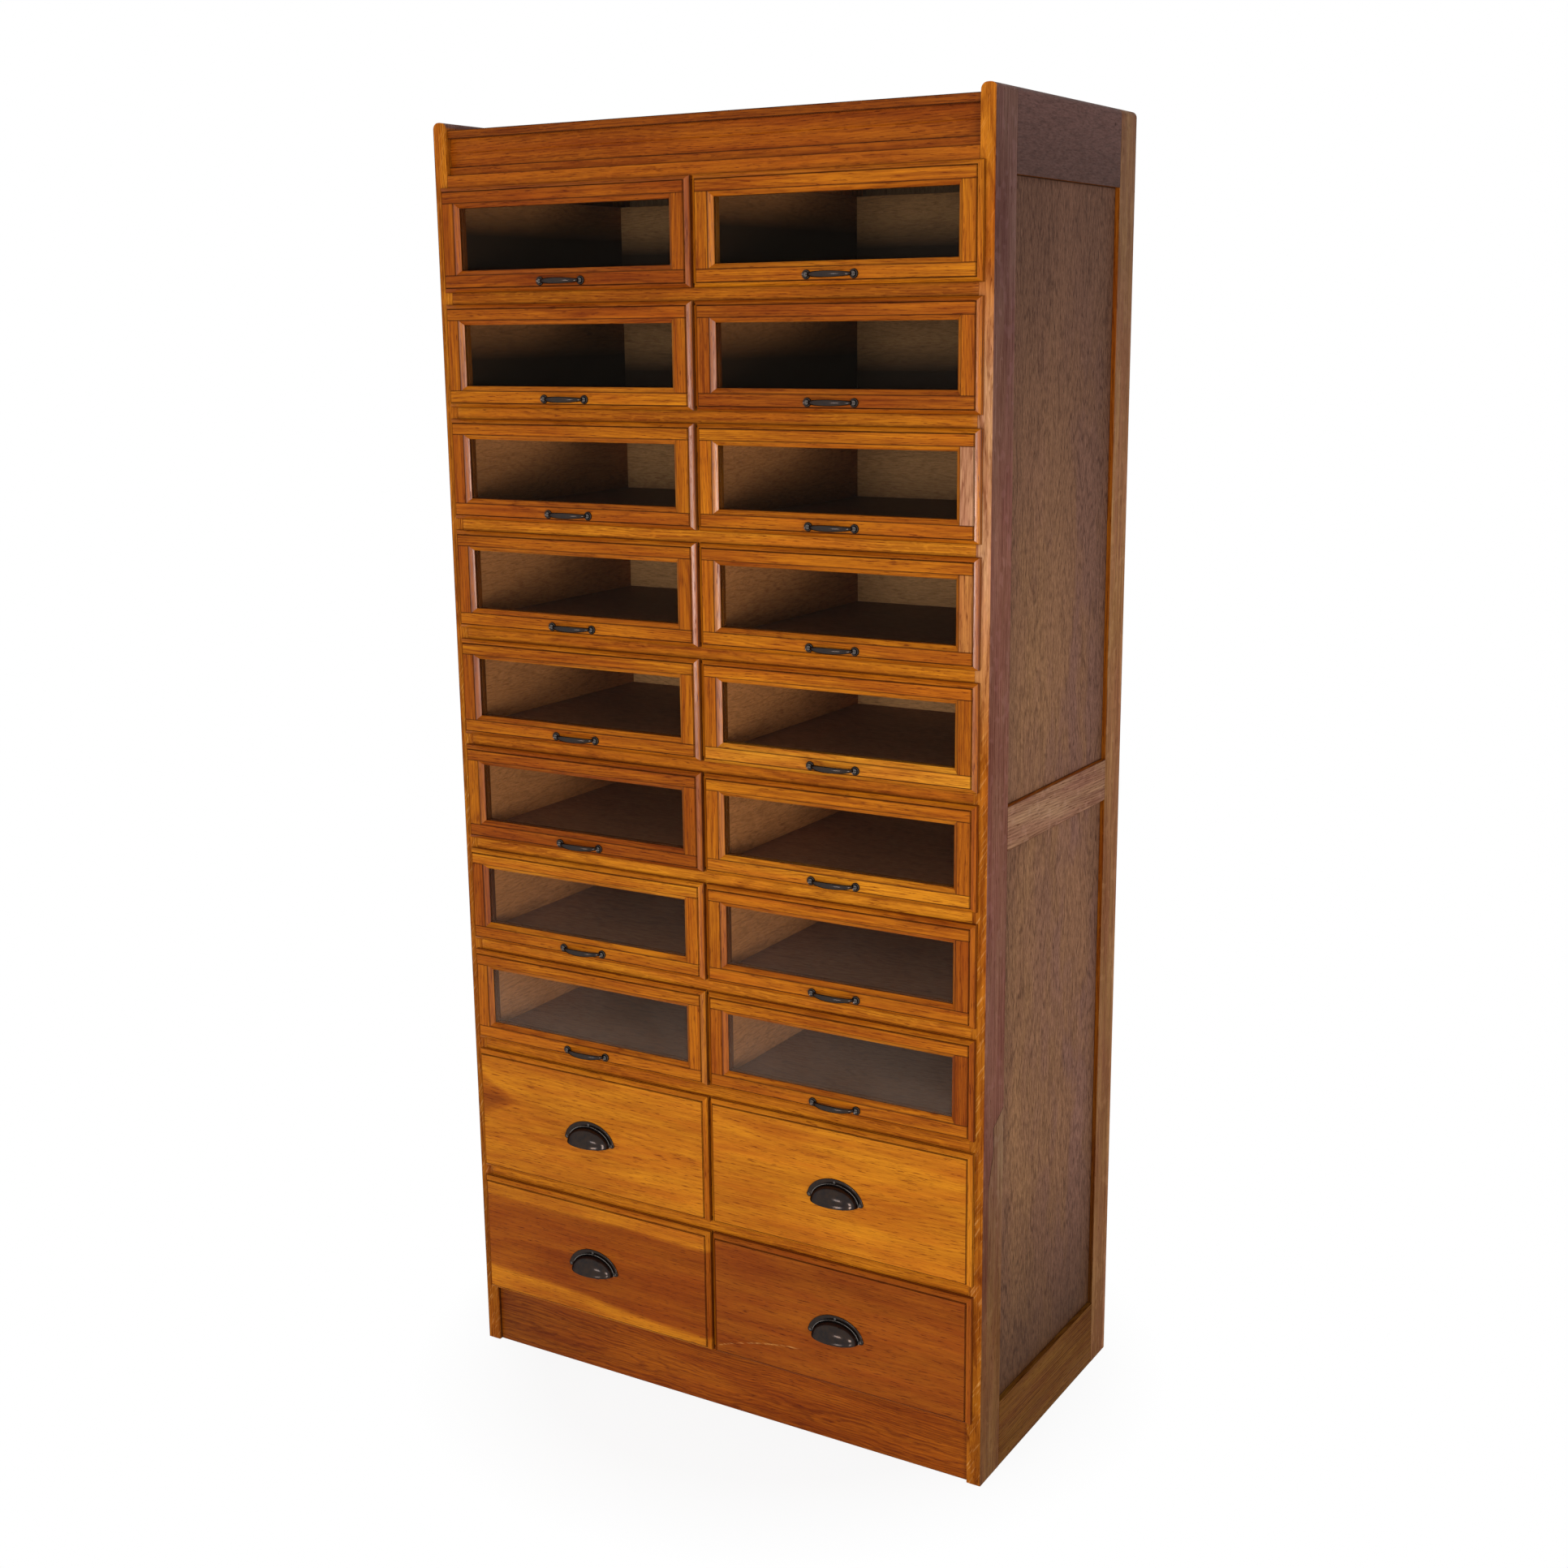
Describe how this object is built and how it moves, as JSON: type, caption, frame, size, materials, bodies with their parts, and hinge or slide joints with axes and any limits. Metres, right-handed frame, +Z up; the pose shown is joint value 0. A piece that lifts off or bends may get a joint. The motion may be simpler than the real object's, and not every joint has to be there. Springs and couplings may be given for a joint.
{
  "type": "haberdashery cabinet",
  "caption": "Tall free-standing oak cabinet with two columns of sliding drawers: glazed fronts with bow pulls above, deeper solid fronts with cup pulls below, on a plinth.",
  "frame": {"origin": "middle of the base of the whole cabinet's box, on the floor", "axes": "+Z up, the drawer fronts face -Y, +X to the right as seen from the front"},
  "size_m": [0.91, 0.5124, 1.95],
  "materials": {
    "oak_side": "varnished oak, brown, satin",
    "oak_carcass": "varnished golden oak, satin",
    "oak_glazed_drawer": "varnished orange-brown oak, satin",
    "oak_solid_drawer": "varnished honey-coloured oak, satin",
    "plywood_back": "bare plywood, matt",
    "clear_glass": "clear drawn sheet glass",
    "dark_bronze": "dark bronze patina, semi-gloss"
  },
  "bodies": {
    "carcass": {"left_side": "oak_side", "right_side": "oak_side", "carcass_frame": "oak_carcass", "back_panel": "plywood_back"},
    "left_drawer_01": {"drawer_left_01": "oak_glazed_drawer", "pane_left_01": "clear_glass", "bow_pull_left_01": "dark_bronze"},
    "right_drawer_01": {"drawer_right_01": "oak_glazed_drawer", "pane_right_01": "clear_glass", "bow_pull_right_01": "dark_bronze"},
    "left_drawer_02": {"drawer_left_02": "oak_glazed_drawer", "pane_left_02": "clear_glass", "bow_pull_left_02": "dark_bronze"},
    "right_drawer_02": {"drawer_right_02": "oak_glazed_drawer", "pane_right_02": "clear_glass", "bow_pull_right_02": "dark_bronze"},
    "left_drawer_03": {"drawer_left_03": "oak_glazed_drawer", "pane_left_03": "clear_glass", "bow_pull_left_03": "dark_bronze"},
    "right_drawer_03": {"drawer_right_03": "oak_glazed_drawer", "pane_right_03": "clear_glass", "bow_pull_right_03": "dark_bronze"},
    "left_drawer_04": {"drawer_left_04": "oak_glazed_drawer", "pane_left_04": "clear_glass", "bow_pull_left_04": "dark_bronze"},
    "right_drawer_04": {"drawer_right_04": "oak_glazed_drawer", "pane_right_04": "clear_glass", "bow_pull_right_04": "dark_bronze"},
    "left_drawer_05": {"drawer_left_05": "oak_glazed_drawer", "pane_left_05": "clear_glass", "bow_pull_left_05": "dark_bronze"},
    "right_drawer_05": {"drawer_right_05": "oak_glazed_drawer", "pane_right_05": "clear_glass", "bow_pull_right_05": "dark_bronze"},
    "left_drawer_06": {"drawer_left_06": "oak_glazed_drawer", "pane_left_06": "clear_glass", "bow_pull_left_06": "dark_bronze"},
    "right_drawer_06": {"drawer_right_06": "oak_glazed_drawer", "pane_right_06": "clear_glass", "bow_pull_right_06": "dark_bronze"},
    "left_drawer_07": {"drawer_left_07": "oak_glazed_drawer", "pane_left_07": "clear_glass", "bow_pull_left_07": "dark_bronze"},
    "right_drawer_07": {"drawer_right_07": "oak_glazed_drawer", "pane_right_07": "clear_glass", "bow_pull_right_07": "dark_bronze"},
    "left_drawer_08": {"drawer_left_08": "oak_glazed_drawer", "pane_left_08": "clear_glass", "bow_pull_left_08": "dark_bronze"},
    "right_drawer_08": {"drawer_right_08": "oak_glazed_drawer", "pane_right_08": "clear_glass", "bow_pull_right_08": "dark_bronze"},
    "left_drawer_09": {"drawer_left_09": "oak_solid_drawer", "cup_pull_left_09": "dark_bronze"},
    "right_drawer_09": {"drawer_right_09": "oak_solid_drawer", "cup_pull_right_09": "dark_bronze"},
    "left_drawer_10": {"drawer_left_10": "oak_solid_drawer", "cup_pull_left_10": "dark_bronze"},
    "right_drawer_10": {"drawer_right_10": "oak_solid_drawer", "cup_pull_right_10": "dark_bronze"}
  },
  "joints": [
    {"name": "left_drawer_01_slide", "type": "slide", "parent": "carcass", "child": "left_drawer_01", "axis": [0, -1, 0], "range_m": [0, 0.34]},
    {"name": "right_drawer_01_slide", "type": "slide", "parent": "carcass", "child": "right_drawer_01", "axis": [0, -1, 0], "range_m": [0, 0.34]},
    {"name": "left_drawer_02_slide", "type": "slide", "parent": "carcass", "child": "left_drawer_02", "axis": [0, -1, 0], "range_m": [0, 0.34]},
    {"name": "right_drawer_02_slide", "type": "slide", "parent": "carcass", "child": "right_drawer_02", "axis": [0, -1, 0], "range_m": [0, 0.34]},
    {"name": "left_drawer_03_slide", "type": "slide", "parent": "carcass", "child": "left_drawer_03", "axis": [0, -1, 0], "range_m": [0, 0.34]},
    {"name": "right_drawer_03_slide", "type": "slide", "parent": "carcass", "child": "right_drawer_03", "axis": [0, -1, 0], "range_m": [0, 0.34]},
    {"name": "left_drawer_04_slide", "type": "slide", "parent": "carcass", "child": "left_drawer_04", "axis": [0, -1, 0], "range_m": [0, 0.34]},
    {"name": "right_drawer_04_slide", "type": "slide", "parent": "carcass", "child": "right_drawer_04", "axis": [0, -1, 0], "range_m": [0, 0.34]},
    {"name": "left_drawer_05_slide", "type": "slide", "parent": "carcass", "child": "left_drawer_05", "axis": [0, -1, 0], "range_m": [0, 0.34]},
    {"name": "right_drawer_05_slide", "type": "slide", "parent": "carcass", "child": "right_drawer_05", "axis": [0, -1, 0], "range_m": [0, 0.34]},
    {"name": "left_drawer_06_slide", "type": "slide", "parent": "carcass", "child": "left_drawer_06", "axis": [0, -1, 0], "range_m": [0, 0.34]},
    {"name": "right_drawer_06_slide", "type": "slide", "parent": "carcass", "child": "right_drawer_06", "axis": [0, -1, 0], "range_m": [0, 0.34]},
    {"name": "left_drawer_07_slide", "type": "slide", "parent": "carcass", "child": "left_drawer_07", "axis": [0, -1, 0], "range_m": [0, 0.34]},
    {"name": "right_drawer_07_slide", "type": "slide", "parent": "carcass", "child": "right_drawer_07", "axis": [0, -1, 0], "range_m": [0, 0.34]},
    {"name": "left_drawer_08_slide", "type": "slide", "parent": "carcass", "child": "left_drawer_08", "axis": [0, -1, 0], "range_m": [0, 0.34]},
    {"name": "right_drawer_08_slide", "type": "slide", "parent": "carcass", "child": "right_drawer_08", "axis": [0, -1, 0], "range_m": [0, 0.34]},
    {"name": "left_drawer_09_slide", "type": "slide", "parent": "carcass", "child": "left_drawer_09", "axis": [0, -1, 0], "range_m": [0, 0.34]},
    {"name": "right_drawer_09_slide", "type": "slide", "parent": "carcass", "child": "right_drawer_09", "axis": [0, -1, 0], "range_m": [0, 0.34]},
    {"name": "left_drawer_10_slide", "type": "slide", "parent": "carcass", "child": "left_drawer_10", "axis": [0, -1, 0], "range_m": [0, 0.34]},
    {"name": "right_drawer_10_slide", "type": "slide", "parent": "carcass", "child": "right_drawer_10", "axis": [0, -1, 0], "range_m": [0, 0.34]}
  ]
}
